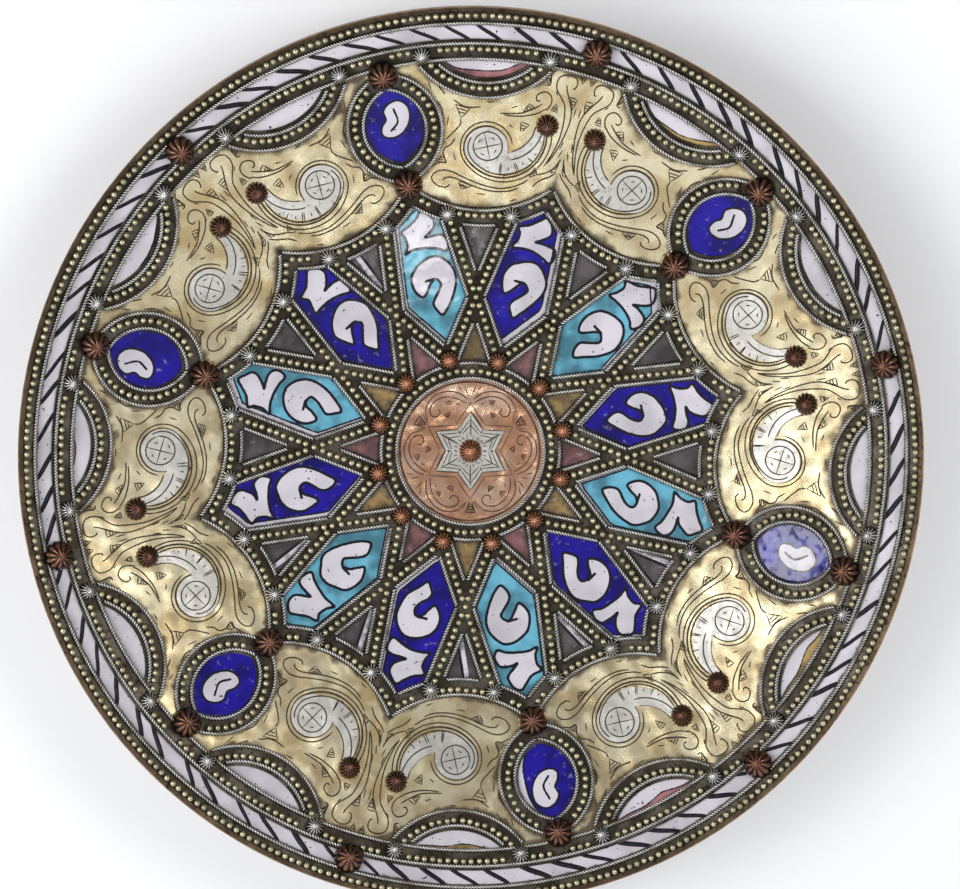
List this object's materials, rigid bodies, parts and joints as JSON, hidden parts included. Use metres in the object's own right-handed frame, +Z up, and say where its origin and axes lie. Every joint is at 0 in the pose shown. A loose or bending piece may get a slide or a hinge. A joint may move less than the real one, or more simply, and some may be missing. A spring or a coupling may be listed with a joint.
{
  "type": "decorative platter",
  "caption": "Shallow round painted earthenware platter with a pierced metal overlay of engraved panels, bead rows, twisted wire and domed studs, on a foot ring.",
  "frame": {"origin": "middle of the circle on which the foot ring stands", "axes": "+Z up, out of the face; +Y to the top of the pattern; +X to the right seen from above"},
  "size_m": [0.3979, 0.398, 0.0522],
  "materials": {
    "glazed_earthenware": "white tin glaze, painted by hand, glossy",
    "copper_binding": "oxidised copper strip",
    "nickel_silver_sheet": "patinated nickel silver",
    "brass_sheet": "engraved and rubbed brass",
    "silvered_sheet": "engraved silver-coloured sheet",
    "copper_sheet": "engraved copper",
    "twisted_wire": "two twisted strands, bright on top and dark between",
    "brass_beads": "cast grains, rubbed bright on top",
    "copper_studs": "fluted domes of oxidised copper",
    "silver_studs": "fluted silver-coloured domes"
  },
  "bodies": {
    "root": {"ceramic_dish": "glazed_earthenware", "rim_binding": "copper_binding", "outer_rim_strip": "nickel_silver_sheet", "inner_rim_strip": "nickel_silver_sheet", "rosette_fret": "nickel_silver_sheet", "oval_strip_1": "nickel_silver_sheet", "oval_strip_2": "nickel_silver_sheet", "oval_strip_3": "nickel_silver_sheet", "oval_strip_4": "nickel_silver_sheet", "oval_strip_5": "nickel_silver_sheet", "oval_strip_6": "nickel_silver_sheet", "half_moon_strip_1": "nickel_silver_sheet", "half_moon_strip_2": "nickel_silver_sheet", "half_moon_strip_3": "nickel_silver_sheet", "half_moon_strip_4": "nickel_silver_sheet", "half_moon_strip_5": "nickel_silver_sheet", "half_moon_strip_6": "nickel_silver_sheet", "half_moon_strip_7": "nickel_silver_sheet", "half_moon_strip_8": "nickel_silver_sheet", "half_moon_strip_9": "nickel_silver_sheet", "half_moon_strip_10": "nickel_silver_sheet", "half_moon_strip_11": "nickel_silver_sheet", "half_moon_strip_12": "nickel_silver_sheet", "brass_panel_1": "brass_sheet", "brass_panel_2": "brass_sheet", "brass_panel_3": "brass_sheet", "brass_panel_4": "brass_sheet", "brass_panel_5": "brass_sheet", "brass_panel_6": "brass_sheet", "medallion_star": "silvered_sheet", "paisley_pair_1": "silvered_sheet", "paisley_pair_2": "silvered_sheet", "paisley_pair_3": "silvered_sheet", "paisley_pair_4": "silvered_sheet", "paisley_pair_5": "silvered_sheet", "paisley_pair_6": "silvered_sheet", "medallion_disc": "copper_sheet", "outer_rim_wire": "twisted_wire", "inner_rim_wires": "twisted_wire", "oval_wires": "twisted_wire", "half_moon_wires": "twisted_wire", "rosette_border_wire": "twisted_wire", "lozenge_wires": "twisted_wire", "triangle_wires": "twisted_wire", "medallion_wire": "twisted_wire", "outer_rim_beads": "brass_beads", "inner_rim_beads": "brass_beads", "oval_beads": "brass_beads", "half_moon_beads": "brass_beads", "rosette_beads": "brass_beads", "spoke_beads": "brass_beads", "medallion_beads": "brass_beads", "rim_studs": "copper_studs", "oval_studs": "copper_studs", "paisley_studs": "copper_studs", "medallion_studs": "copper_studs", "centre_stud": "copper_studs", "half_moon_studs": "silver_studs", "rosette_studs": "silver_studs"}
  },
  "joints": []
}
